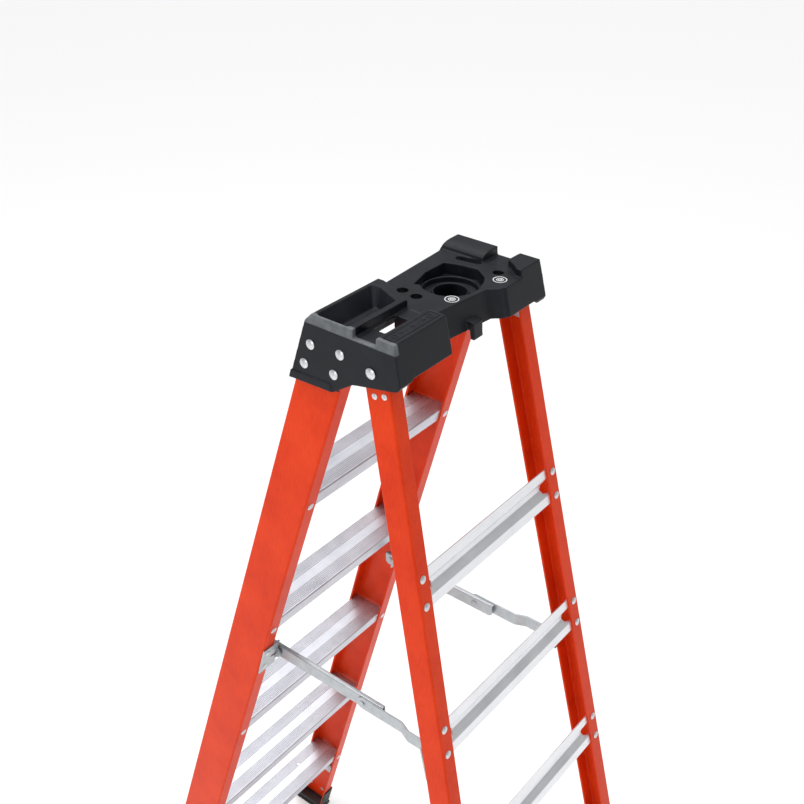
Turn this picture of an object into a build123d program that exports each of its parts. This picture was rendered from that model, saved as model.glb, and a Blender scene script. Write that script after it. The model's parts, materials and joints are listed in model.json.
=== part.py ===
from build123d import *
import math
import os

# Step ladder, 6 ft size, standing open. Millimetres, Z up, X across the steps.
# The climbing side faces -Y, the rear frame stands at +Y. The origin is on the floor, midway between the feet.

# ---- driving dimensions ----
cap_top = 1753.0          # top of the cap's rims
datum_z = 1431.0          # tread of the top step: every slope is measured from here
step_pitch = 291.5        # 12 in measured along the front rail
step_count = 5
half_width = 183.5        # outer web face of the rails at the datum
flare = 0.054             # the rails spread sideways going down
front_lean = 0.297
rear_lean = 0.2155
front_datum_y = -85.3     # front edge of the front rail at the datum
rear_datum_y = 201.9      # rear edge of the rear rail at the datum

front_depth = 78.7        # rail sizes, square to the rail
rear_depth = 43.4
front_flange = 25.6
rear_flange = 26.5
rail_wall = 3.5
rail_bottom = 18.0
rail_top = 1719.0

step_wall = 2.4
skirt_height = 27.0
end_gap = 3.5             # a step or horizontal stops this far short of the web

bar_count = 5             # rear horizontals
bar_top = 1397.4
bar_pitch = 257.7
bar_height = 62.8
bar_wall = 1.9

deck_z = 1741.0
deck_under = 1736.0
cap_wall = 4.2
panel_gap = 2.0           # room between a rail's web and the cap's end panel
panel_wall = 6.0
cap_rear_lean = 0.222
cap_rear_y = 159.7        # rear face of the cap at its top

fold_y, fold_z = 122.7, 1700.0      # fold axis of the rear frame
pivot_r = 4.0
running_gap = 0.05

spreader_z = 1047.5
front_pin_y, centre_pin_y, rear_pin_y = -116.0, 81.0, 244.4
link_pin_r = 3.2

foot_reach = 514.0        # outer edge of the foot pads, front and rear
pad_height = 6.0
boot_top = 78.0
boot_wall = 3.2

front_angle = math.atan(front_lean)
rear_angle = math.atan(rear_lean)
front_depth_h = front_depth / math.cos(front_angle)      # the same sizes in a level section
rear_depth_h = rear_depth / math.cos(rear_angle)
front_wall_h = rail_wall / math.cos(front_angle)
rear_wall_h = rail_wall / math.cos(rear_angle)

web_out = Vector(1, 0, flare).normalized()               # outward from the right web
front_face_out = Vector(0, -1, front_lean).normalized()  # out of the front rail's front flange
rear_face_out = Vector(0, 1, rear_lean).normalized()     # out of the rear rail's rear flange
far = 900.0               # longer than anything it cuts


def web_x(z):
    return half_width + flare * (datum_z - z)


def front_edge_y(z):
    return front_datum_y - front_lean * (datum_z - z)


def rear_edge_y(z):
    return rear_datum_y + rear_lean * (datum_z - z)


# ---- helpers ----
def side_prism(points, x_low, x_high):
    """A (y, z) outline drawn out along X."""
    return extrude(Plane.YZ.offset(x_low) * make_face(Polyline(*points, close=True)), x_high - x_low)


def front_prism(points, y_low, y_high):
    """An (x, z) outline drawn out along Y."""
    return extrude(Plane.XZ.offset(-y_low) * make_face(Polyline(*points, close=True)), -(y_high - y_low))


def block(x0, x1, y0, y1, z0, z1):
    return Pos((x0 + x1) / 2, (y0 + y1) / 2, (z0 + z1) / 2) * Box(x1 - x0, y1 - y0, z1 - z0)


def between_webs(inset, z_low, z_high):
    low, high = web_x(z_low) - inset, web_x(z_high) - inset
    return front_prism([(-low, z_low), (low, z_low), (high, z_high), (-high, z_high)], -far, far)


def along_rail(section, z_low, z_high, lean, edge_y):
    """A level section drawn along the right rail; the section's origin is the rail's outer corner."""
    direction = Vector(-flare, lean, 1)
    start = Pos(web_x(z_low), edge_y(z_low), z_low) * section
    return extrude(start, (z_high - z_low) * direction.length, dir=direction)


def along_front(section, z_low, z_high):
    return along_rail(section, z_low, z_high, front_lean, front_edge_y)


def along_rear(section, z_low, z_high):
    return along_rail(section, z_low, z_high, -rear_lean, rear_edge_y)


def rectangle(x0, x1, y0, y1):
    return Pos((x0 + x1) / 2, (y0 + y1) / 2) * Rectangle(x1 - x0, y1 - y0)


def channel(depth, flange, flange_wall, y_start):
    """Channel section with its web's outer face on x = 0, running from y_start to y_start + depth."""
    outer = rectangle(-flange, 0, y_start, y_start + depth)
    outer = fillet(outer.vertices().sort_by(Axis.X)[-2:], 3.6)
    inner = rectangle(-flange - 5, -rail_wall, y_start + flange_wall, y_start + depth - flange_wall)
    inner = fillet(inner.vertices().sort_by(Axis.X)[-2:], 2.6)
    return outer - inner


def rivet(head_r, head_h, shank_r, grip, tail_r, tail_h):
    """Rivet on the Z axis: domed head above zero, shank through the grip, upset tail below."""
    rim = 0.3 * head_h
    rise = head_h - rim
    dome_r = (rise ** 2 + head_r ** 2) / (2 * rise)
    half_turn = math.asin(head_r / dome_r) / 2
    crest = (dome_r * math.sin(half_turn), head_h - dome_r * (1 - math.cos(half_turn)))
    outline = [
        Polyline((0, head_h), (0, -grip - tail_h), (tail_r, -grip - tail_h), (tail_r, -grip),
                 (shank_r, -grip), (shank_r, 0), (head_r, 0), (head_r, rim)),
        ThreePointArc((head_r, rim), crest, (0, head_h)),
    ]
    return revolve(Plane.XZ * make_face(outline), Axis.Z)


def aimed(shape, point, direction):
    return Plane(origin=point, z_dir=direction) * shape


def drilled(shape, places, radius, depth=14.0):
    for point, direction in places:
        shape -= aimed(Cylinder(radius, depth), point, direction)
    return shape


def cross_hole(shape, y, z, radius, x_low, x_high):
    """A hole along X."""
    rod = Pos((x_low + x_high) / 2, y, z) * Rot(0, 90, 0) * Cylinder(radius, x_high - x_low)
    return shape - rod


def cross_rod(y, z, radius, x_low, x_high):
    return Pos((x_low + x_high) / 2, y, z) * Rot(0, 90, 0) * Cylinder(radius, x_high - x_low)


def pillar(centre, radius, z_low, z_high):
    return Pos(*centre, (z_low + z_high) / 2) * Cylinder(radius, z_high - z_low)


def drawn_up(points, z_low, z_high):
    """A plan outline drawn upwards."""
    return extrude(Pos(0, 0, z_low) * make_face(Polyline(*points, close=True)), z_high - z_low)


def rounded_face(points, radius):
    face = make_face(Polyline(*points, close=True))
    return fillet(face.vertices(), radius)


def mirrored(shape):
    return mirror(shape, Plane.YZ)


def both_places(places):
    """The right side's places and directions, and their mirror images."""
    return places + [(Vector(-p.X, p.Y, p.Z), Vector(-d.X, d.Y, d.Z)) for p, d in places]


def save(name, shape):
    export_step(shape, os.path.join("parts", name + ".step"))


def save_pair(name, right):
    save(name + "_right", right)
    save(name + "_left", mirrored(right))


def save_group(name, shapes):
    solids = [solid for shape in shapes for solid in shape.solids()]
    save(name, Compound(solids))


# ---- heights of what repeats ----
step_tops = [datum_z - step_pitch * (step_count - 1 - i) for i in range(step_count)]
bar_tops = [bar_top - bar_pitch * i for i in range(bar_count)]

# ---- rivet places on the right side: (point on the outer surface, outward direction) ----
cap_rivet_yz = [(13.7, 1707.0), (1.7, 1674.0), (67.7, 1709.0), (56.7, 1675.0)]
cap_rivet_places = [
    (Vector(web_x(z) + panel_gap + panel_wall, y, z), web_out) for y, z in cap_rivet_yz
]
step_rivet_drop = 15.5
step_rivet_in = 13.0
step_rivet_places = []
for top in step_tops:
    z = top - step_rivet_drop
    x = web_x(z) - step_rivet_in
    step_rivet_places.append((Vector(x, front_edge_y(z), z), front_face_out))
    step_rivet_places.append((Vector(x, front_edge_y(z) + front_depth_h, z), -front_face_out))
bar_rivet_places = []
for top in bar_tops:
    for drop in (8.8, bar_height - 9.2):
        z = top - drop
        bar_rivet_places.append((Vector(web_x(z) - 12.3, rear_edge_y(z), z), rear_face_out))
plate_rivet_places = [
    (Vector(web_x(z), rear_edge_y(z) - back, z), web_out) for z, back in ((1662.0, 28.5), (1667.0, 10.5))
]
bracket_front_places = []
for z in (1029.0, 1066.0):
    surface_y = front_edge_y(z) + front_depth_h + 3.1
    bracket_front_places.append((Vector(192.0, surface_y, z), -front_face_out))
bracket_rear_places = []
for z in (1029.0, 1066.0):
    surface_y = rear_edge_y(z) - rear_depth_h - 3.1
    bracket_rear_places.append((Vector(192.0, surface_y, z), -rear_face_out))
front_foot_places = [
    (Vector(web_x(z) + boot_wall, front_edge_y(z) + back, z), web_out) for z, back in ((55.0, 20.0), (55.0, 60.0))
]
rear_foot_places = [
    (Vector(web_x(z) + boot_wall, rear_edge_y(z) - back, z), web_out) for z, back in ((55.0, 12.5), (55.0, 32.0))
]
knee_z = 165.0            # rivet of the bottom step's knee brace
knee_y = -407.0
knee_place = (Vector(web_x(knee_z), knee_y, knee_z), web_out)
knee_reach = 78.0         # how far in from the web the brace meets the tread
knee_tread_place = (Vector(web_x(step_tops[0]) - rail_wall - knee_reach - 16.0, knee_y, step_tops[0]),
                    Vector(0, 0, 1))
shank_r = 3.0
hole_r = shank_r + running_gap


# ---- rails ----
def front_rail():
    rail = along_front(channel(front_depth_h, front_flange, front_wall_h, 0), rail_bottom, rail_top)
    places = cap_rivet_places + step_rivet_places + bracket_front_places + front_foot_places + [knee_place]
    return drilled(rail, places, hole_r, 24.0)


def rear_rail():
    section = channel(rear_depth_h, rear_flange, rear_wall_h, -rear_depth_h)
    rail = along_rear(section, rail_bottom, rail_top - 3.0)
    places = bar_rivet_places + plate_rivet_places + bracket_rear_places + rear_foot_places
    rail = drilled(rail, places, hole_r, 20.0)
    return cross_hole(rail, fold_y, fold_z, pivot_r + running_gap, 130, 200)


# ---- steps: ribbed treads with a skirt against each flange ----
def step(top):
    half = step_wall / 2
    lean_half = half / math.cos(front_angle)

    def front_y(z):
        return front_edge_y(z) + front_wall_h + lean_half

    def rear_y(z):
        return front_edge_y(z) + front_depth_h - front_wall_h - lean_half

    low, high = top - skirt_height + half, top - half
    path = FilletPolyline(
        (front_y(low) + 8, low), (front_y(low), low), (front_y(high), high),
        (rear_y(high), high), (rear_y(low), low), (rear_y(low) - 8, low), radius=1.6)
    profile = Plane.YZ * trace(path, step_wall)
    tread = extrude(Pos(-far / 2, 0, 0) * profile, far)
    tread &= between_webs(rail_wall + end_gap, top - skirt_height - 5, top + 5)
    places = both_places(step_rivet_places + [knee_tread_place])
    return drilled(tread, [p for p in places if abs(p[0].Z - top) < skirt_height], hole_r)


# ---- rear horizontals: a hat section, coped at each end so that two tabs lie inside the flange ----
def rear_bar(top):
    low = top - bar_height
    half = bar_wall / 2 / math.cos(rear_angle)
    bends = [(0, 0), (0, 15.5), (8, 27), (8, 35), (0, 47), (0, bar_height)]
    path = FilletPolyline(
        *[(rear_edge_y(low + h) - rear_wall_h - half - d, low + h) for d, h in bends], radius=2.0)
    bar = extrude(Pos(-far / 2, 0, 0) * (Plane.YZ * trace(path, bar_wall)), far)
    bar &= between_webs(rail_wall + end_gap, low - 5, top + 5)
    middle = low + 31.5
    edge = web_x(middle) - rear_flange + 2
    cope = [(edge, 15), (edge - 4, 11.5), (edge - 17, -1), (edge - 13, -10), (edge, -14), (edge + 80, -14),
            (edge + 80, 15)]
    for side in (-1, 1):
        bar -= front_prism([(side * x, middle + h) for x, h in cope], 0, far)
    places = both_places(bar_rivet_places)
    return drilled(bar, [p for p in places if low < p[0].Z < top], hole_r)


# ---- cap ----
tool_holes = [(18.0, 49.7, 8.5), (21.5, 77.7, 8.5), (-117.0, 123.7, 8.0)]     # x, y, radius
tub_centre = (-45.0, 89.0)
recess_floor = 1721.0


def cap_front_y(z):
    return front_edge_y(z) - cap_wall


def panel_outline(outset):
    """Outline across X of the cap's ends, with the chamfer along the top."""
    low_z, shoulder_z = 1630.0, 1737.0
    low = web_x(low_z) + outset
    shoulder = web_x(shoulder_z) + outset
    crown = shoulder - 1.6
    return [(-low, low_z), (low, low_z), (shoulder, shoulder_z), (crown, cap_top), (-crown, cap_top),
            (-shoulder, shoulder_z)]


def rear_prism(points, z_high, z_low):
    """A plan outline at z_high drawn down along the slope of the cap's rear face."""
    direction = Vector(0, cap_rear_lean, -1)
    face = Pos(0, 0, z_high) * make_face(Polyline(*points, close=True))
    return extrude(face, (z_high - z_low) * direction.length, dir=direction)


def front_slope(set_back):
    """Wedge that cuts the deck's front edge back between the tray and the far ridge."""
    plan = [(29, -60), (29, 17.5 + set_back), (-134, 8.0 + set_back), (-134, -60)]
    direction = Vector(0, -1.33, -1)
    face = Pos(0, 0, deck_z + 0.5) * make_face(Polyline(*plan, close=True))
    return extrude(face, 22 * direction.length, dir=direction)


def top_cap():
    rear_low = cap_rear_y + cap_rear_lean * (cap_top - 1694.5)
    side = [
        (cap_front_y(1643), 1643.0), (54.7, 1646.5), (90.7, 1670.5), (159.7, 1684.5), (169.0, 1688.0),
        (rear_low, 1694.5), (cap_rear_y, cap_top), (14.0, cap_top), (cap_front_y(deck_z), deck_z)]
    cap = side_prism(side, -far / 4, far / 4) & front_prism(panel_outline(panel_gap + panel_wall), -100, 260)

    # thicker lip round the front rails
    lip = side_prism([(cap_front_y(1643) - 1.4, 1643.0), (54.7, 1646.5), (50.0, 1659.0),
                      (cap_front_y(1656) - 1.4, 1656.0)], -far / 4, far / 4)
    lip &= front_prism(panel_outline(panel_gap + panel_wall + 1.4), -100, 260)
    cap += lip

    # the rear face steps in between the label block and the far corner
    step_in = [(60, 127.5), (-59, 140.5), (-71, 154.5), (-80, 157.0), (-80, 190.0), (60, 190.0)]
    cap -= rear_prism(step_in, cap_top + 2, 1640.0)

    # ridge along the far end
    ridge = side_prism([(cap_front_y(deck_z), deck_z), (8.0, cap_top), (14.5, cap_top), (14.5, deck_z)],
                       -far / 4, -136.0)
    cap += ridge & front_prism(panel_outline(panel_gap + panel_wall), -100, 260)

    # open underside
    cavity = side_prism([(front_edge_y(1600), 1600.0), (240.0, 1600.0), (240.0, deck_under),
                         (front_edge_y(deck_under), deck_under)], -far / 4, far / 4)
    cavity &= front_prism([(x, z) for x, z in panel_outline(panel_gap) if z < cap_top], -100, 260)
    wall = 4.5
    inner = [(-200, -100), (200, -100), (200, cap_rear_y - wall), (60 - wall, cap_rear_y - wall),
             (60 - wall, 127.0 - wall), (-59, 140.5 - wall), (-69, 152.0 - wall), (-80, 153.0 - wall),
             (-200, cap_rear_y - wall)]
    cavity &= rear_prism(inner, cap_top, 1590.0)
    cavity -= front_slope(7.0)
    cap -= cavity
    cap -= front_slope(0.0)

    # skirts between the end panels are shorter
    middle_z = 1696.0
    cap -= front_prism([(-165, 1684), (-146, middle_z), (146, middle_z), (165, 1684), (165, 1600), (-165, 1600)],
                       20, 260)
    cap -= front_prism([(-140, 1650), (-118, 1690), (118, 1690), (140, 1650), (140, 1600), (-140, 1600)],
                       -120, 20.5)

    # pads that fill the gap outside the front rails
    pads = side_prism([(cap_front_y(1645), 1645.0), (front_edge_y(1646) + front_depth_h, 1646.0),
                       (front_edge_y(1718) + front_depth_h, 1718.0), (cap_front_y(1718), 1718.0)],
                      -far / 4, far / 4)
    pads &= front_prism([(x, z) for x, z in panel_outline(panel_gap + 0.5) if z < cap_top], -100, 260)
    pads -= front_prism([(x, z) for x, z in panel_outline(0) if z < cap_top], -120, 280)
    cap += pads

    # tubs under the tray, the bucket recess and the slots
    tub_top = deck_z - 1
    cap += block(44.5, 166, 20.7, 83.0, 1722.5, tub_top)
    outer_tub = [(-4, 46), (-50, 35), (-98.5, 36), (-107, 61), (-111, 94.5), (-92.5, 121.5), (-74, 132.5),
                 (-45, 132.5)]
    cap += drawn_up(outer_tub, recess_floor - 4, tub_top)
    cap += pillar(tub_centre, 48.5, recess_floor - 4, tub_top)
    cap += block(81.5, 85.0, 88.0, 116.0, 1719.0, tub_top)
    for x, y, radius in tool_holes:
        cap += pillar((x, y), radius + 2.5, 1720.0, 1738.0)
    pliers_slot = Pos(-126, 64, deck_z) * Rot(0, 0, 98)
    cap += Pos(0, 0, -19) * pliers_slot * extrude(SlotOverall(50, 19), 18)

    # deck: everything but the rims, the ridges and the label block is lower than the crown
    deck_plan = drawn_up([(29, -60), (29, 24), (33, 36), (55, 86), (60, 92.8), (-152, 92.8), (-152, -60)],
                         deck_z - 2, deck_z + 20)
    roll = [(70, cap_top + 2), (70, deck_z), (-134, deck_z), (-135, 1745.5), (-138.5, 1749.3), (-144, 1751.8),
            (-152, cap_top + 0.2), (-152, cap_top + 2)]
    deck_cuts = [
        deck_plan & front_prism(roll, -60, 92.8),
        block(-134, 60.0, 92.6, 200, deck_z, cap_top + 5),
        block(59.0, 200, 88.5, 128.7, deck_z - 1, cap_top + 5),
        block(-200, -133.0, 83.7, 125.0, deck_z - 2, cap_top + 5),
    ]
    cove = [(-143, 123.0), (-138, 132), (-131, 142), (-123, 151), (-121, 170), (-133, 200), (-100, 200), (-100, 123)]
    deck_cuts.append(drawn_up(cove, deck_z, deck_z + 20))
    keep_corner = [(-200, 125.0), (-143, 123.0), (-138, 132), (-131, 142), (-123, 151), (-121, 170), (-121, 200),
                   (-200, 200)]
    keep = drawn_up(keep_corner, deck_z - 10, deck_z + 30)
    for cut in deck_cuts:
        cap -= cut - keep

    # tray, with its walls drawn in towards the floor
    mouth = [(170, 19), (170, 79), (68, 79), (49, 34), (48, 19)]
    floor = [(158, 36), (158, 72), (78, 72), (66, 44), (64, 36)]
    cap -= loft([Pos(0, 0, cap_top + 1) * rounded_face(mouth, 5.0), Pos(0, 0, 1727.0) * rounded_face(floor, 5.0)])

    # bucket recess, the raised rings round its middle and the blind cup inside them
    recess = [(-8, 50), (-50, 39), (-95, 40), (-103, 62), (-107, 93), (-90, 118), (-72, 128), (-45, 128)]
    cap -= drawn_up(recess, recess_floor, 1770)
    cap -= pillar(tub_centre, 45.0, recess_floor, 1770)
    cap += pillar(tub_centre, 45.0, recess_floor - 1, 1730.5) - pillar(tub_centre, 42.0, recess_floor - 2, 1731.5)
    cap += pillar(tub_centre, 28.0, 1699.0, 1728.0)
    cap -= pillar(tub_centre, 25.0, 1702.0, 1770)

    # tool slots and holes
    cap -= block(85, 135, 90.5, 112.7, 1700, cap_top)
    for x, y, radius in tool_holes:
        cap -= pillar((x, y), radius, 1715, 1755)
    cap -= pliers_slot * extrude(SlotOverall(44, 13), 25, both=True)

    # shallow panel in the top of the label block
    cap -= Pos(114.5, 143.5, 1751.9) * extrude(RectangleRounded(105, 21, 4), 5)

    # line hook behind the middle
    hook_y = 146.0
    cap += side_prism([(hook_y - 2.5, 1712), (hook_y + 12, 1710), (hook_y + 14, 1684), (hook_y + 7, 1684),
                       (hook_y + 5, 1698), (hook_y - 1, 1698)], -30, -8)

    # rivet and pivot holes
    cap = drilled(cap, both_places(cap_rivet_places), hole_r, 24.0)
    return cross_hole(cap, fold_y, fold_z, pivot_r + running_gap, -220, 220)


# ---- fold pivot ----
def pivot_pin():
    panel_x = web_x(fold_z) + panel_gap + panel_wall
    tilt_room = 0.5
    inner_x = web_x(fold_z) - rail_wall - 2.5 - 0.9
    grip = panel_x + tilt_room - inner_x
    return aimed(rivet(8.2, 3.6, pivot_r, grip, 6.6, 2.0), Vector(panel_x + tilt_room, fold_y, fold_z),
                 Vector(1, 0, 0))


def pivot_washer():
    base = Vector(web_x(fold_z) + panel_gap, fold_y, fold_z)
    washer = aimed(Pos(0, 0, -0.62) * Cylinder(10.0, 1.24), base, web_out)
    return cross_hole(washer, fold_y, fold_z, pivot_r + running_gap, 150, 200)


def hinge_plate():
    section = rectangle(-rail_wall - 2.5, -rail_wall, -rear_depth_h + rear_wall_h + 3.2, -rear_wall_h - 3.2)
    plate = drilled(along_rear(section, 1650, 1712), plate_rivet_places, hole_r, 24.0)
    return cross_hole(plate, fold_y, fold_z, pivot_r + running_gap, 130, 200)


# ---- spreader: a channel link pinned to the front bracket, and a flat bar beside it to the rear one ----
ear_in, ear_out = 164.6, 167.4        # front bracket's ear
link_in, link_out = 153.0, 161.6      # the channel's sides
bar_in, bar_out = 162.0, 165.0        # the flat bar beside it
tail_in, tail_out = 170.6, 173.6      # joggled rear end of the bar
rear_ear_in, rear_ear_out = 173.9, 176.4
link_rise, link_drop, link_wall = 12.5, 12.0, 1.7
bar_half = 11.5


def eared_plate(surface, side, low, high, x_low, x_high, pin_y, radius, ear_x):
    """A riveted plate on a flange, with an ear round the pin at its inboard edge."""
    plate = side_prism([(surface(low), low), (surface(low) + side * 3.1, low),
                        (surface(high) + side * 3.1, high), (surface(high), high)], x_low, x_high)
    ear = side_prism([(surface(low + 8), low + 8), (pin_y + side * 2, spreader_z - radius),
                      (pin_y + side * 2, spreader_z + radius), (surface(high - 8), high - 8)], *ear_x)
    ear += cross_rod(pin_y, spreader_z, radius, *ear_x)
    room = cross_rod(pin_y, spreader_z, 7.0, ear_x[1], ear_x[1] + 3.0)    # for the pin's tail
    return plate - room + ear


def front_bracket():
    bracket = eared_plate(lambda z: front_edge_y(z) + front_depth_h, 1, 1016.0, 1079.0, ear_in, 202.0,
                          front_pin_y, 11.0, (ear_in, ear_out))
    bracket = drilled(bracket, bracket_front_places, hole_r, 24.0)
    return cross_hole(bracket, front_pin_y, spreader_z, link_pin_r + running_gap, 150, 180)


def rear_bracket():
    bracket = eared_plate(lambda z: rear_edge_y(z) - rear_depth_h, -1, 1016.0, 1079.0, rear_ear_in, 202.0,
                          rear_pin_y, 10.5, (rear_ear_in, rear_ear_out))
    bracket = drilled(bracket, bracket_rear_places, hole_r, 24.0)
    return cross_hole(bracket, rear_pin_y, spreader_z, link_pin_r + running_gap, 150, 185)


def front_link():
    y_low, y_high = front_pin_y - 12, centre_pin_y + 40.5
    link = block(link_in, link_out, y_low, y_high, spreader_z - link_drop, spreader_z + link_rise)
    link = fillet(link.edges().filter_by(Axis.Y).group_by(Axis.Z)[-1], 2.4)
    link = chamfer(link.edges().filter_by(Axis.X).group_by(Axis.Z)[0], 5.0)
    link -= block(link_in + link_wall, link_out - link_wall, y_low - 1, y_high + 1, spreader_z - link_drop - 1,
                  spreader_z + link_rise - link_wall)
    link = cross_hole(link, front_pin_y, spreader_z, link_pin_r + running_gap, 150, 170)
    return cross_hole(link, centre_pin_y, spreader_z, link_pin_r + running_gap, 150, 170)


def rear_link():
    middle = (bar_in + bar_out) / 2
    shift = tail_in - bar_in
    path = FilletPolyline((middle, centre_pin_y - 12), (middle, 165), (middle + shift, 185),
                          (middle + shift, rear_pin_y + 12), radius=9.0)
    strip = extrude(Pos(0, 0, spreader_z - bar_half) * trace(path, bar_out - bar_in), 2 * bar_half)
    outline = block(140, 190, centre_pin_y, rear_pin_y, spreader_z - bar_half, spreader_z + bar_half)
    outline += cross_rod(centre_pin_y, spreader_z, bar_half, 140, 190)
    outline += cross_rod(rear_pin_y, spreader_z, bar_half, 140, 190)
    strip &= outline
    strip = cross_hole(strip, centre_pin_y, spreader_z, link_pin_r + running_gap, 150, 175)
    return cross_hole(strip, rear_pin_y, spreader_z, link_pin_r + running_gap, 150, 185)


def link_pin(y, head_x, tail_x, tail_h=1.3):
    """Headed pin along X: the head on the inboard side, an upset tail on the other."""
    return aimed(rivet(6.0, 2.2, link_pin_r, tail_x - head_x, 5.4, tail_h), Vector(head_x, y, spreader_z),
                 Vector(-1, 0, 0))


def front_pin():
    pin = link_pin(front_pin_y, link_in - 0.2, ear_out)
    return pin + cross_rod(front_pin_y, spreader_z, 6.0, link_out + 0.2, ear_in)


def rear_pin():
    return link_pin(rear_pin_y, tail_in - 0.2, rear_ear_out, 0.8)


def centre_pin():
    """The pin is parted between the channel and the bar, so that half of it moves with each."""
    whole = link_pin(centre_pin_y, link_in - 0.2, bar_out)
    y_low, y_high = centre_pin_y - 20, centre_pin_y + 20
    z_low, z_high = spreader_z - 20, spreader_z + 20
    return [whole & block(x0, x1, y_low, y_high, z_low, z_high) for x0, x1 in ((140, 161.75), (161.85, 190))]


# ---- braces of the bottom step ----
def knee_brace(width):
    """A strip from the web's inner face up to the underside of the tread."""
    half = 1.25
    z_low = knee_z - 16
    top_z = step_tops[0] - step_wall

    def inner_x(z):
        return web_x(z) - rail_wall - half - 0.05

    bend_z = knee_z + 14
    elbow_x = inner_x(top_z) - knee_reach
    path = FilletPolyline((inner_x(z_low), z_low), (inner_x(bend_z), bend_z),
                          (elbow_x, top_z - half), (elbow_x - 28, top_z - half), radius=5.0)
    strip = extrude(Plane.XZ.offset(-(knee_y - width / 2)) * trace(path, 2 * half), -width)
    return drilled(strip, [knee_place, knee_tread_place], hole_r, 24.0)


# ---- feet ----
def boot(draw, y0, y1, flange):
    outer = rectangle(-flange - 3.0, boot_wall, y0 - boot_wall, y1 + boot_wall)
    outer = fillet(outer.vertices(), 3.0)
    shell = draw(outer, pad_height, boot_top)
    return shell - draw(rectangle(-flange - 20, 0, y0, y1), rail_bottom, boot_top + 20)


def front_boot():
    shell = boot(along_front, 0, front_depth_h, front_flange)
    return drilled(shell, front_foot_places, hole_r, 24.0)


def rear_boot():
    shell = boot(along_rear, -rear_depth_h, 0, rear_flange)
    return drilled(shell, rear_foot_places, hole_r, 24.0)


def pad(x_mid, y_out, depth, side):
    """Rubber tread plate under a boot, grooved across."""
    y_low, y_high = sorted((y_out, y_out - side * depth))
    width = 38.0
    plate = block(x_mid - width / 2, x_mid + width / 2, y_low, y_high, 0, pad_height)
    grooves = int(depth // 12)
    for i in range(grooves):
        y = y_low + depth * (i + 1) / (grooves + 1)
        plate -= block(x_mid - width, x_mid + width, y - 1.5, y + 1.5, -1, 2.2)
    return plate


def rivet_group(name, places, shape):
    save_group(name, [aimed(shape, point, way) for point, way in both_places(places)])


os.makedirs("parts", exist_ok=True)

save("top_cap", top_cap())
save_pair("front_rail", front_rail())
save_pair("rear_rail", rear_rail())
for number, top in enumerate(step_tops, 1):
    save(f"step_{number}", step(top))
for number, top in enumerate(reversed(bar_tops), 1):
    save(f"rear_horizontal_{number}", rear_bar(top))

save_pair("pivot_pin", pivot_pin())
save_pair("pivot_washer", pivot_washer())
save_pair("hinge_plate", hinge_plate())
save_pair("spreader_front_bracket", front_bracket())
save_pair("spreader_rear_bracket", rear_bracket())
save_pair("spreader_front_link", front_link())
save_pair("spreader_rear_link", rear_link())
save_pair("spreader_front_pin", front_pin())
centre_head, centre_tail = centre_pin()
save_pair("spreader_centre_pin", centre_head)
save_pair("spreader_centre_stud", centre_tail)
save_pair("spreader_rear_pin", rear_pin())

save_pair("knee_brace", knee_brace(28.0))

save_pair("front_boot", front_boot())
save_pair("rear_boot", rear_boot())
front_pad_depth = front_depth_h + 2 * boot_wall + 2
rear_pad_depth = rear_depth_h + 2 * boot_wall + 2
save_pair("front_pad", pad(web_x(3) - 12.8, -foot_reach, front_pad_depth, -1))
save_pair("rear_pad", pad(web_x(3) - 12.8, foot_reach, rear_pad_depth, 1))

skin = rail_wall + step_wall
rivet_group("cap_rivets", cap_rivet_places, rivet(7.5, 3.0, shank_r, panel_gap + panel_wall + rail_wall, 5.4, 2.0))
rivet_group("step_rivets", step_rivet_places, rivet(6.2, 2.6, shank_r, skin, 5.0, 1.8))
rivet_group("horizontal_rivets", bar_rivet_places, rivet(6.4, 2.8, shank_r, rail_wall + bar_wall, 5.0, 1.6))
rivet_group("hinge_plate_rivets", plate_rivet_places, rivet(4.6, 1.6, shank_r, rail_wall + 2.5, 4.6, 1.4))
rivet_group("front_bracket_rivets", bracket_front_places, rivet(5.6, 2.2, shank_r, rail_wall + 3.1, 5.0, 1.6))
rivet_group("rear_bracket_rivets", bracket_rear_places, rivet(5.6, 2.2, shank_r, rail_wall + 3.1, 5.0, 1.6))
rivet_group("knee_brace_web_rivets", [knee_place], rivet(6.2, 2.6, shank_r, rail_wall + 2.6, 5.0, 1.8))
rivet_group("knee_brace_tread_rivets", [knee_tread_place], rivet(5.0, 1.2, shank_r, step_wall + 2.6, 5.0, 1.6))
rivet_group("front_foot_rivets", front_foot_places, rivet(5.6, 2.2, shank_r, boot_wall + rail_wall, 5.0, 1.6))
rivet_group("rear_foot_rivets", rear_foot_places, rivet(5.6, 2.2, shank_r, boot_wall + rail_wall, 5.0, 1.6))
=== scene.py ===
import json
import math

import bmesh
import bpy
from mathutils import Matrix, Vector


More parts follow.
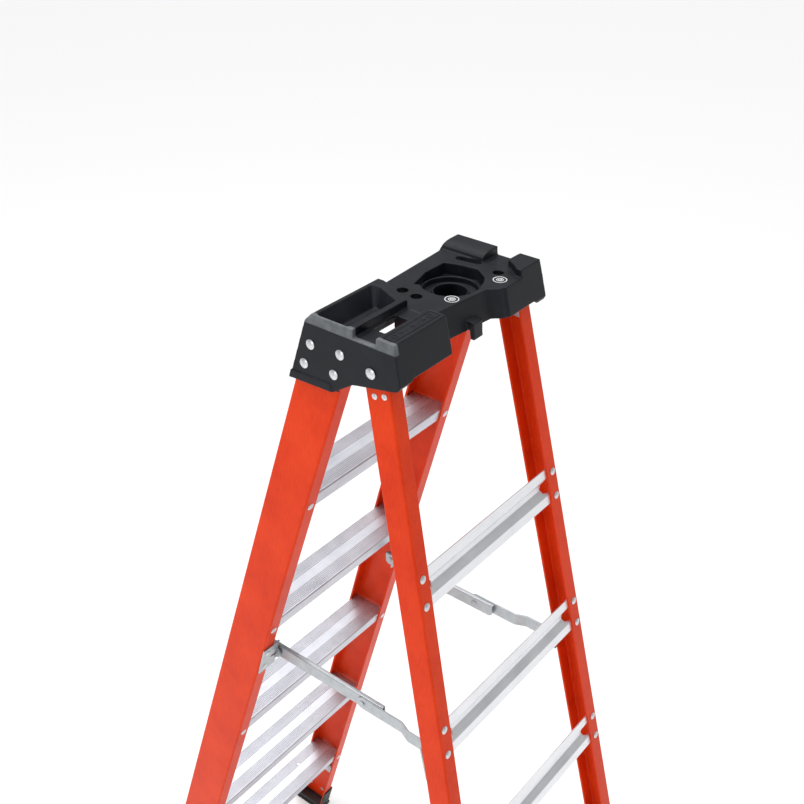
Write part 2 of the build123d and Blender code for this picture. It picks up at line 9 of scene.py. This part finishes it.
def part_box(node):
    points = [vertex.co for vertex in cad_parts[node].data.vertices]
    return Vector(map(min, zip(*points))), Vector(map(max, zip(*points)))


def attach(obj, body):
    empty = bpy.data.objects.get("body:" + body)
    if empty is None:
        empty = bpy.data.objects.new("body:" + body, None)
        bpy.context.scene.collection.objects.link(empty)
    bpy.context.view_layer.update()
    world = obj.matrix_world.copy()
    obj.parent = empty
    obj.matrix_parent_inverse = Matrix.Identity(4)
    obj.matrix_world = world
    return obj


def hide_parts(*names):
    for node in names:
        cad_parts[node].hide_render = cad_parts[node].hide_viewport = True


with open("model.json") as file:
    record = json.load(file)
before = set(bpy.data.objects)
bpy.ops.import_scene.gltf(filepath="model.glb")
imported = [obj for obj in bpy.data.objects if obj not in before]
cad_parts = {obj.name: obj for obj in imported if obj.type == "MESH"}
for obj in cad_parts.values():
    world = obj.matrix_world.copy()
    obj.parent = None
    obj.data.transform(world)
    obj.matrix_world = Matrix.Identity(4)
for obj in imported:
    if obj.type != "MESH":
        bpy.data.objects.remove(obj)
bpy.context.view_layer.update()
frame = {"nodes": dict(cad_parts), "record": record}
nodes = frame["nodes"]
print("frame loaded:", len(nodes), "CAD nodes")

millimetre = 0.001

viewSettings = {
    "cameraPlace": (1.1700, 0.9696, 2.4561),
    "turn": 128.64,        # degrees round from looking along +Y
    "tilt": 31.53,         # degrees down
    "lens": 50.73,
    "sensor": 36.0,
}
lightSettings = {
    "world": 0.40,
    "sun": {"turn": (14.0, -12.0, 0.0), "angle": 50.0, "strength": 1.9},    # an even wash over the floor
    "aim": (0.0, 0.05, 1.45),
    "lamps": {
        "key": {"place": (1.2, -1.9, 4.2), "size": 1.8, "power": 46.0},
        "side": {"place": (3.6, 0.2, 2.6), "size": 1.6, "power": 22.0},
        "top": {"place": (0.2, 1.4, 4.6), "size": 2.4, "power": 22.0},
    },
}
floorSettings = {"size": 60.0, "colour": (0.96, 0.96, 0.96), "roughness": 0.85}


def makeCamera():
    camera = bpy.data.cameras.new("camera")
    camera.lens = viewSettings["lens"]
    camera.sensor_width = viewSettings["sensor"]
    camera.clip_end = 200.0
    holder = bpy.data.objects.new("camera", camera)
    bpy.context.scene.collection.objects.link(holder)
    holder.location = viewSettings["cameraPlace"]
    turn, tilt = math.radians(viewSettings["turn"]), math.radians(viewSettings["tilt"])
    looking = Vector((-math.sin(turn) * math.cos(tilt), math.cos(turn) * math.cos(tilt), -math.sin(tilt)))
    holder.rotation_euler = looking.to_track_quat("-Z", "Y").to_euler()
    bpy.context.scene.camera = holder


def makeLights():
    aim = Vector(lightSettings["aim"])
    for name, settings in lightSettings["lamps"].items():
        lamp = bpy.data.lights.new(name, "AREA")
        lamp.shape = "DISK"
        lamp.size = settings["size"]
        lamp.energy = settings["power"]
        holder = bpy.data.objects.new(name, lamp)
        bpy.context.scene.collection.objects.link(holder)
        holder.location = settings["place"]
        holder.rotation_euler = (aim - Vector(settings["place"])).to_track_quat("-Z", "Y").to_euler()
    settings = lightSettings["sun"]
    sun = bpy.data.lights.new("sun", "SUN")
    sun.energy = settings["strength"]
    sun.angle = math.radians(settings["angle"])
    holder = bpy.data.objects.new("sun", sun)
    bpy.context.scene.collection.objects.link(holder)
    holder.rotation_euler = [math.radians(value) for value in settings["turn"]]
    world = bpy.data.worlds.new("studio")
    world.use_nodes = True
    background = world.node_tree.nodes["Background"]
    background.inputs["Color"].default_value = (1.0, 1.0, 1.0, 1.0)
    background.inputs["Strength"].default_value = lightSettings["world"]
    bpy.context.scene.world = world
    bpy.context.scene.view_settings.view_transform = "Standard"


def makeFloor():
    half = floorSettings["size"] / 2
    mesh = bpy.data.meshes.new("floor")
    corners = [(-half, -half, 0), (half, -half, 0), (half, half, 0), (-half, half, 0)]
    mesh.from_pydata(corners, [], [(0, 1, 2, 3)])
    floor = bpy.data.objects.new("floor", mesh)
    bpy.context.scene.collection.objects.link(floor)
    material = bpy.data.materials.new("paleFloor")
    material.use_nodes = True
    shader = material.node_tree.nodes["Principled BSDF"]
    shader.inputs["Base Color"].default_value = (*floorSettings["colour"], 1.0)
    shader.inputs["Roughness"].default_value = floorSettings["roughness"]
    mesh.materials.append(material)


def newMaterial(name):
    material = bpy.data.materials.new(name)
    material.use_nodes = True
    return material, material.node_tree, material.node_tree.nodes["Principled BSDF"]


def objectPattern(tree, scale=(1, 1, 1)):
    place = tree.nodes.new("ShaderNodeTexCoord")
    mapping = tree.nodes.new("ShaderNodeMapping")
    mapping.inputs["Scale"].default_value = scale
    tree.links.new(place.outputs["Object"], mapping.inputs["Vector"])
    return mapping.outputs["Vector"]


def noise(tree, vector, scale, detail=4.0, roughness=0.6):
    node = tree.nodes.new("ShaderNodeTexNoise")
    node.inputs["Scale"].default_value = scale
    node.inputs["Detail"].default_value = detail
    node.inputs["Roughness"].default_value = roughness
    tree.links.new(vector, node.inputs["Vector"])
    return node.outputs["Fac"]


def blend(tree, first, second, share):
    node = tree.nodes.new("ShaderNodeMix")
    node.data_type = "FLOAT"
    node.inputs["Factor"].default_value = share
    tree.links.new(first, node.inputs["A"])
    tree.links.new(second, node.inputs["B"])
    return node.outputs["Result"]


def ramp(tree, value, stops):
    node = tree.nodes.new("ShaderNodeValToRGB")
    while len(node.color_ramp.elements) < len(stops):
        node.color_ramp.elements.new(0.5)
    for element, (place, colour) in zip(node.color_ramp.elements, stops):
        element.position = place
        element.color = (*colour, 1.0)
    tree.links.new(value, node.inputs["Fac"])
    return node.outputs["Color"]


def spread(tree, value, low, high, fromLow=0.3, fromHigh=0.7):
    node = tree.nodes.new("ShaderNodeMapRange")
    for name, number in (("From Min", fromLow), ("From Max", fromHigh), ("To Min", low), ("To Max", high)):
        node.inputs[name].default_value = number
    tree.links.new(value, node.inputs["Value"])
    return node.outputs["Result"]


def colourBlend(tree, first, second, share):
    node = tree.nodes.new("ShaderNodeMix")
    node.data_type = "RGBA"
    tree.links.new(share, node.inputs[0])
    tree.links.new(first, node.inputs[6])
    tree.links.new(second, node.inputs[7])
    return node.outputs[2]


def bump(tree, shader, height, strength, distance):
    node = tree.nodes.new("ShaderNodeBump")
    node.inputs["Strength"].default_value = strength
    node.inputs["Distance"].default_value = distance
    tree.links.new(height, node.inputs["Height"])
    tree.links.new(node.outputs["Normal"], shader.inputs["Normal"])


fibreglassFinish = {
    "colours": ((0.66, 0.030, 0.002), (0.76, 0.044, 0.003), (0.84, 0.058, 0.006)),
    "roughness": (0.30, 0.42),
    "specular": 0.10,
    "coat": 0.04,
}


def fibreglass():
    material, tree, shader = newMaterial("orangeFibreglass")
    strands = noise(tree, objectPattern(tree, (90, 90, 5)), 9.0, 6.0, 0.65)    # glass strands along the rail
    clouds = noise(tree, objectPattern(tree), 14.0, 3.0)
    mixed = blend(tree, strands, clouds, 0.45)
    dark, middle, light = fibreglassFinish["colours"]
    tint = ramp(tree, mixed, ((0.34, dark), (0.5, middle), (0.66, light)))
    tree.links.new(tint, shader.inputs["Base Color"])
    tree.links.new(spread(tree, strands, *fibreglassFinish["roughness"]), shader.inputs["Roughness"])
    shader.inputs["Specular IOR Level"].default_value = fibreglassFinish["specular"]
    shader.inputs["Coat Weight"].default_value = fibreglassFinish["coat"]
    shader.inputs["Coat Roughness"].default_value = 0.12
    bump(tree, shader, strands, 0.10, 0.0006)
    return material


treadFinish = {
    "colours": ((0.46, 0.47, 0.51), (0.58, 0.59, 0.64), (0.70, 0.71, 0.76)),
    "roughness": (0.36, 0.52),
}
barFinish = {
    "colours": ((0.72, 0.73, 0.76), (0.84, 0.85, 0.88), (0.93, 0.94, 0.96)),
    "roughness": (0.34, 0.50),
}


def aluminium(name, finish):
    material, tree, shader = newMaterial(name)
    lines = noise(tree, objectPattern(tree, (2.5, 420, 420)), 3.0, 5.0, 0.7)   # die lines along the extrusion
    patches = noise(tree, objectPattern(tree), 22.0, 4.0)
    mixed = blend(tree, lines, patches, 0.4)
    dark, middle, light = finish["colours"]
    tint = ramp(tree, mixed, ((0.3, dark), (0.5, middle), (0.7, light)))
    tree.links.new(tint, shader.inputs["Base Color"])
    shader.inputs["Metallic"].default_value = 0.92
    tree.links.new(spread(tree, mixed, *finish["roughness"]), shader.inputs["Roughness"])
    bump(tree, shader, lines, 0.10, 0.0004)
    return material


capFinish = {
    "colours": ((0.003, 0.0035, 0.006), (0.006, 0.007, 0.011), (0.011, 0.0125, 0.018)),
    "roughness": (0.40, 0.56),
    "specular": 0.24,
    "paintedHighlightStart": 0.166,                       # metres: the painted highlight, a paler band on the end chamfer, from here outwards
    "paintedHighlightHeight": 1.7375,                     # and from here up
    "paintedHighlightFade": (0.002, 0.0015),
    "paintedHighlightColours": ((0.085, 0.092, 0.100), (0.16, 0.17, 0.18)),
}


def capPlastic():
    material, tree, shader = newMaterial("charcoalMoulding")
    grain = noise(tree, objectPattern(tree), 1500.0, 3.0)
    clouds = noise(tree, objectPattern(tree), 30.0, 4.0)
    dark, middle, light = capFinish["colours"]
    tint = ramp(tree, clouds, ((0.3, dark), (0.5, middle), (0.72, light)))
    # noise that mottles the painted highlight on the end chamfer
    scuffsAndSheen = noise(tree, objectPattern(tree), 70.0, 6.0)
    # pale colours for the painted highlight on the end chamfer
    low, high = capFinish["paintedHighlightColours"]
    band = ramp(tree, scuffsAndSheen, ((0.3, low), (0.7, high)))
    # mask for the painted highlight: outboard of the start and above the height given in capFinish
    place = tree.nodes.new("ShaderNodeTexCoord")
    parts = tree.nodes.new("ShaderNodeSeparateXYZ")
    tree.links.new(place.outputs["Object"], parts.inputs["Vector"])
    start, height = capFinish["paintedHighlightStart"], capFinish["paintedHighlightHeight"]
    along = spread(tree, parts.outputs["X"], 0.0, 1.0, start, start + capFinish["paintedHighlightFade"][0])
    above = spread(tree, parts.outputs["Z"], 0.0, 1.0, height, height + capFinish["paintedHighlightFade"][1])
    paintedHighlightMask = tree.nodes.new("ShaderNodeMath")
    paintedHighlightMask.operation = "MULTIPLY"
    tree.links.new(along, paintedHighlightMask.inputs[0])
    tree.links.new(above, paintedHighlightMask.inputs[1])
    # the moulding's own dark tone, with the painted highlight mixed in on the end chamfer
    tree.links.new(colourBlend(tree, tint, band, paintedHighlightMask.outputs["Value"]), shader.inputs["Base Color"])
    tree.links.new(spread(tree, clouds, *capFinish["roughness"]), shader.inputs["Roughness"])
    shader.inputs["Specular IOR Level"].default_value = capFinish["specular"]
    bump(tree, shader, grain, 0.35, 0.0004)
    return material


def darkPlastic():
    material, tree, shader = newMaterial("bootPlastic")
    grain = noise(tree, objectPattern(tree), 900.0, 3.0)
    scuffsAndSheen = noise(tree, objectPattern(tree, (1, 1, 3)), 60.0, 6.0)
    tree.links.new(ramp(tree, scuffsAndSheen, ((0.35, (0.016, 0.016, 0.018)), (0.7, (0.034, 0.034, 0.036)))),
                   shader.inputs["Base Color"])
    tree.links.new(spread(tree, scuffsAndSheen, 0.5, 0.7), shader.inputs["Roughness"])
    bump(tree, shader, grain, 0.3, 0.0004)
    return material


def rubber():
    material, tree, shader = newMaterial("rubberTread")
    grain = noise(tree, objectPattern(tree), 700.0, 5.0)
    tree.links.new(ramp(tree, grain, ((0.3, (0.010, 0.010, 0.010)), (0.7, (0.024, 0.023, 0.022)))),
                   shader.inputs["Base Color"])
    tree.links.new(spread(tree, grain, 0.75, 0.92), shader.inputs["Roughness"])
    bump(tree, shader, grain, 0.5, 0.0006)
    return material


zincFinish = {
    "colours": ((0.36, 0.39, 0.41), (0.46, 0.49, 0.51), (0.56, 0.59, 0.61)),
    "roughness": (0.36, 0.50),
}


def zincSteel():
    material, tree, shader = newMaterial("zincSteel")
    clouds = noise(tree, objectPattern(tree), 70.0, 5.0)
    brushed = noise(tree, objectPattern(tree, (300, 4, 300)), 4.0, 4.0)
    mixed = blend(tree, clouds, brushed, 0.4)
    dark, middle, light = zincFinish["colours"]
    tint = ramp(tree, mixed, ((0.3, dark), (0.5, middle), (0.7, light)))
    tree.links.new(tint, shader.inputs["Base Color"])
    shader.inputs["Metallic"].default_value = 0.85
    tree.links.new(spread(tree, mixed, *zincFinish["roughness"]), shader.inputs["Roughness"])
    bump(tree, shader, clouds, 0.06, 0.0004)
    return material


def rivetMetal():
    material, tree, shader = newMaterial("rivetAluminium")
    marks = noise(tree, objectPattern(tree), 420.0, 4.0)
    tree.links.new(ramp(tree, marks, ((0.3, (0.58, 0.59, 0.61)), (0.7, (0.74, 0.75, 0.77)))),
                   shader.inputs["Base Color"])
    shader.inputs["Metallic"].default_value = 0.85
    tree.links.new(spread(tree, marks, 0.26, 0.40), shader.inputs["Roughness"])
    bump(tree, shader, marks, 0.15, 0.0003)
    return material


def badgeWhite():
    material, tree, shader = newMaterial("badgeWhite")
    wear = noise(tree, objectPattern(tree), 500.0, 4.0)
    tree.links.new(ramp(tree, wear, ((0.3, (0.62, 0.62, 0.64)), (0.6, (0.86, 0.86, 0.88)))),
                   shader.inputs["Base Color"])
    tree.links.new(spread(tree, wear, 0.45, 0.6), shader.inputs["Roughness"])
    return material


def badgeBlack():
    material, tree, shader = newMaterial("badgeBlack")
    wear = noise(tree, objectPattern(tree), 600.0, 4.0)
    tree.links.new(ramp(tree, wear, ((0.3, (0.006, 0.006, 0.007)), (0.7, (0.014, 0.014, 0.016)))),
                   shader.inputs["Base Color"])
    tree.links.new(spread(tree, wear, 0.4, 0.6), shader.inputs["Roughness"])
    return material


slotMaterials = {
    "fibreglass": fibreglass(),
    "aluminium": aluminium("treadAluminium", treadFinish),
    "cap_plastic": capPlastic(),
    "boot_plastic": darkPlastic(),
    "rubber_tread": rubber(),
    "zinc_steel": zincSteel(),
    "rivet_metal": rivetMetal(),
}
barMaterial = aluminium("barAluminium", barFinish)
whiteMaterial = badgeWhite()
blackMaterial = badgeBlack()
print("materials made:", len(slotMaterials) + 3)


def dressCadNodes():
    slots = {part["node"]: part["material_slot"] for part in frame["record"]["subparts"]}
    for name, node in nodes.items():
        for place in node.material_slots:
            isBar = name.startswith("rear_horizontal")
            place.material = barMaterial if isBar else slotMaterials[slots[name]]
    print("CAD nodes dressed:", len(slots))


def pieceFrom(mesh, name, body, material):
    piece = bpy.data.objects.new(name, mesh)
    bpy.context.scene.collection.objects.link(piece)
    mesh.materials.clear()
    mesh.materials.append(material)
    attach(piece, body)
    return piece


def evaluatedMesh(holder, name):
    bpy.context.view_layer.update()
    depsgraph = bpy.context.evaluated_depsgraph_get()
    mesh = bpy.data.meshes.new_from_object(holder.evaluated_get(depsgraph))
    mesh.name = name
    return mesh


capSettings = {
    "voxel": 1.05 * millimetre,     # sets how soft the moulded edges are
    "smoothTurns": 4,
    "keep": 0.32,                   # share of triangles kept
}


def makeCap():
    mesh = nodes["top_cap"].data.copy()
    work = bmesh.new()
    work.from_mesh(mesh)
    bmesh.ops.remove_doubles(work, verts=work.verts, dist=1e-6)
    work.to_mesh(mesh)
    work.free()
    holder = bpy.data.objects.new("capWork", mesh)
    bpy.context.scene.collection.objects.link(holder)
    remesh = holder.modifiers.new("remesh", "REMESH")
    remesh.mode = "VOXEL"
    remesh.voxel_size = capSettings["voxel"]
    smooth = holder.modifiers.new("smooth", "SMOOTH")
    smooth.factor = 0.5
    smooth.iterations = capSettings["smoothTurns"]
    thin = holder.modifiers.new("thin", "DECIMATE")
    thin.ratio = capSettings["keep"]
    final = evaluatedMesh(holder, "capMoulding")
    bpy.data.objects.remove(holder)
    final.shade_smooth()
    cap = pieceFrom(final, "cap_moulding", "front_frame", slotMaterials["cap_plastic"])
    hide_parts("top_cap")
    print("cap moulded:", len(final.polygons), "faces")


def ringStrip(work, centre, outer, inner, sides, low, high, turn=0.0):
    # a flat ring with a top, two walls and a bottom
    rows = []
    for radius, height in ((outer, low), (outer, high), (inner, high), (inner, low)):
        row = []
        for step in range(sides):
            angle = turn + 2 * math.pi * step / sides
            row.append(work.verts.new((centre[0] + radius * math.cos(angle),
                                       centre[1] + radius * math.sin(angle), height)))
        rows.append(row)
    for first, second in zip(rows, rows[1:] + rows[:1]):
        for step in range(sides):
            following = (step + 1) % sides
            work.faces.new((first[step], first[following], second[following], second[step]))


def prism(work, outline, low, high):
    # a closed block with the outline as its top and bottom
    bottom, top = ([work.verts.new((x, y, height)) for x, y in outline] for height in (low, high))
    work.faces.new(list(reversed(bottom)))
    work.faces.new(top)
    for step in range(len(outline)):
        following = (step + 1) % len(outline)
        work.faces.new((bottom[step], bottom[following], top[following], top[step]))


def slab(work, centre, halfX, halfY, low, high, turn=0.0):
    cosine, sine = math.cos(turn), math.sin(turn)
    corners = [(-halfX, -halfY), (halfX, -halfY), (halfX, halfY), (-halfX, halfY)]
    outline = [(centre[0] + x * cosine - y * sine, centre[1] + x * sine + y * cosine) for x, y in corners]
    prism(work, outline, low, high)


def disc(work, centre, radius, sides, low, high):
    angles = [2 * math.pi * step / sides for step in range(sides)]
    x, y = centre
    prism(work, [(x + radius * math.cos(angle), y + radius * math.sin(angle)) for angle in angles], low, high)


def closed(work, name):
    # from millimetres to the frame's metres
    bmesh.ops.scale(work, vec=(millimetre, millimetre, millimetre), verts=work.verts)
    bmesh.ops.recalc_face_normals(work, faces=work.faces)
    mesh = bpy.data.meshes.new(name)
    work.to_mesh(mesh)
    work.free()
    return mesh


badgeSettings = {
    "places": ((-1.5, 123.4), (-97.0, 140.4)),
    "deck": 1741.0,
    "radius": 10.8,
    "sunk": 0.5,             # how far the plate reaches below the deck
    "proud": 0.3,            # and above it
    "printFrom": 0.1,
    "printTo": 0.5,
    "margin": 0.2,           # plate left outside the outer ring
    "line": 1.2,
    "nutRadius": 6.0,
    "nutHole": 2.9,
}


def makeBadges():
    plates, prints = bmesh.new(), bmesh.new()
    deck, radius, line = (badgeSettings[name] for name in ("deck", "radius", "line"))
    low, high = deck + badgeSettings["printFrom"], deck + badgeSettings["printTo"]
    outlines = ((radius - badgeSettings["margin"], 48), (badgeSettings["nutRadius"], 6),
                (badgeSettings["nutHole"], 24))
    for centre in badgeSettings["places"]:
        disc(plates, centre, radius, 48, deck - badgeSettings["sunk"], deck + badgeSettings["proud"])
        for outer, sides in outlines:
            ringStrip(prints, centre, outer, outer - line, sides, low, high)
    pieceFrom(closed(plates, "badgePlates"), "badge_plates", "front_frame", blackMaterial)
    pieceFrom(closed(prints, "badgePrints"), "badge_prints", "front_frame", whiteMaterial)
    print("badges made")


labelSettings = {
    "centre": (114.5, 143.5),
    "half": (51.0, 9.6),
    "top": 1752.3,
    "thick": 0.6,
    "border": 1.1,
    "markSunk": 0.2,
    "markProud": 0.45,
    "ringReach": 38,             # from the middle to the ring and to the nut outline
    "ringOuter": 5.2,
    "ringInner": 3.9,
    "strokes": 5,
    "strokePitch": 12,
    "strokeHalf": (3.6, 0.7),
    "strokeTurn": 0.6,
}


def makeLabel():
    # a bordered plate with a ring, a nut outline and slanted strokes where printing would be
    work = bmesh.new()
    (x, y), (halfX, halfY) = labelSettings["centre"], labelSettings["half"]
    top, border = labelSettings["top"], labelSettings["border"]
    slab(work, (x, y), halfX, halfY, top - labelSettings["thick"], top)
    low, high = top - labelSettings["markSunk"], top + labelSettings["markProud"]
    for side in (-1, 1):
        slab(work, (x, y + side * (halfY - border)), halfX - border, border / 2, low, high)
        slab(work, (x + side * (halfX - border), y), border / 2, halfY - border, low, high)
    for side, sides in ((-1, 32), (1, 6)):
        ringStrip(work, (x + side * labelSettings["ringReach"], y), labelSettings["ringOuter"],
                  labelSettings["ringInner"], sides, low, high)
    first = x - labelSettings["strokePitch"] * (labelSettings["strokes"] - 1) / 2
    for step in range(labelSettings["strokes"]):
        place = (first + labelSettings["strokePitch"] * step, y)
        turn = labelSettings["strokeTurn"] * (1 if step % 2 else -1)
        slab(work, place, *labelSettings["strokeHalf"], low, high, turn)
    plate = closed(work, "labelPlate")
    pieceFrom(plate, "label_plate", "front_frame", slotMaterials["cap_plastic"])
    print("label plate made")


ribSettings = {
    "count": 7,
    "pitch": 3.6 * millimetre,
    "radius": 1.2 * millimetre,
    "sink": 0.3 * millimetre,        # how far the round rib's centre sits below the tread's surface
    "edge": 3.6 * millimetre,        # from the tread's edge to the first rib
    "treadDepth": 74.8 * millimetre,
    "endGap": 3.5 * millimetre,      # ribs stop this far short of the tread's ends
    "rearInset": 1.5 * millimetre,   # room left at the tread's rounded rear corner
}


def ribTree():
    tree = bpy.data.node_groups.new("ribs", "GeometryNodeTree")
    face = tree.interface
    face.new_socket("Geometry", in_out="OUTPUT", socket_type="NodeSocketGeometry")
    face.new_socket("Geometry", in_out="INPUT", socket_type="NodeSocketGeometry")
    face.new_socket("Count", in_out="INPUT", socket_type="NodeSocketInt")
    for name in ("Pitch", "Length", "Radius"):
        face.new_socket(name, in_out="INPUT", socket_type="NodeSocketFloat")
    face.new_socket("Material", in_out="INPUT", socket_type="NodeSocketMaterial")
    make = tree.nodes.new
    entry, leave = make("NodeGroupInput"), make("NodeGroupOutput")
    spine, endPoint = make("GeometryNodeCurvePrimitiveLine"), make("ShaderNodeCombineXYZ")
    section, rib = make("GeometryNodeCurvePrimitiveCircle"), make("GeometryNodeCurveToMesh")
    section.inputs["Resolution"].default_value = 10
    rib.inputs["Fill Caps"].default_value = True
    rows, offset = make("GeometryNodeMeshLine"), make("ShaderNodeCombineXYZ")
    place, real = make("GeometryNodeInstanceOnPoints"), make("GeometryNodeRealizeInstances")
    finish = make("GeometryNodeSetMaterial")
    link = tree.links.new
    link(entry.outputs["Length"], endPoint.inputs["X"])
    link(endPoint.outputs["Vector"], spine.inputs["End"])
    link(entry.outputs["Radius"], section.inputs["Radius"])
    link(spine.outputs["Curve"], rib.inputs["Curve"])
    link(section.outputs["Curve"], rib.inputs["Profile Curve"])
    link(entry.outputs["Count"], rows.inputs["Count"])
    link(entry.outputs["Pitch"], offset.inputs["Y"])
    link(offset.outputs["Vector"], rows.inputs["Offset"])
    link(rows.outputs["Mesh"], place.inputs["Points"])
    link(rib.outputs["Mesh"], place.inputs["Instance"])
    link(place.outputs["Instances"], real.inputs["Geometry"])
    link(real.outputs["Geometry"], finish.inputs["Geometry"])
    link(entry.outputs["Material"], finish.inputs["Material"])
    link(finish.outputs["Geometry"], leave.inputs["Geometry"])
    return tree


def grown(tree, values, name):
    # runs a tree on an empty mesh and gives the plain mesh it makes
    holder = bpy.data.objects.new(name + "Work", bpy.data.meshes.new(name + "Work"))
    bpy.context.scene.collection.objects.link(holder)
    modifier = holder.modifiers.new(name, "NODES")
    modifier.node_group = tree
    for item in tree.interface.items_tree:
        if item.item_type == "SOCKET" and item.in_out == "INPUT" and item.name in values:
            modifier[item.identifier] = values[item.name]
    mesh = evaluatedMesh(holder, name)
    bpy.data.objects.remove(holder)
    return mesh


def makeRibs():
    tree = ribTree()
    steps = sorted(name for name in nodes if name.startswith("step_") and name != "step_rivets")
    for name in steps:
        low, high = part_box(name)
        length = high.x - low.x - 2 * ribSettings["endGap"]
        values = {"Count": ribSettings["count"], "Pitch": ribSettings["pitch"], "Length": length,
                  "Radius": ribSettings["radius"], "Material": slotMaterials["aluminium"]}
        rear = high.y - ribSettings["rearInset"]
        front = high.y - ribSettings["treadDepth"]
        bandDepth = ribSettings["pitch"] * (ribSettings["count"] - 1)
        work = bmesh.new()
        band = grown(tree, values, name + "Band")
        for start in (front + ribSettings["edge"], rear - ribSettings["edge"] - bandDepth):
            copied = band.copy()
            copied.transform(Matrix.Translation((-length / 2, start, high.z - ribSettings["sink"])))
            work.from_mesh(copied)
            bpy.data.meshes.remove(copied)
        bpy.data.meshes.remove(band)
        mesh = bpy.data.meshes.new(name + "Ribs")
        bmesh.ops.recalc_face_normals(work, faces=work.faces)
        work.to_mesh(mesh)
        work.free()
        mesh.shade_smooth()
        pieceFrom(mesh, name + "_ribs", "front_frame", slotMaterials["aluminium"])
    print("tread ribs made on", len(steps), "steps")


makeCamera()
makeLights()
makeFloor()
dressCadNodes()
makeCap()
makeBadges()
makeLabel()
makeRibs()
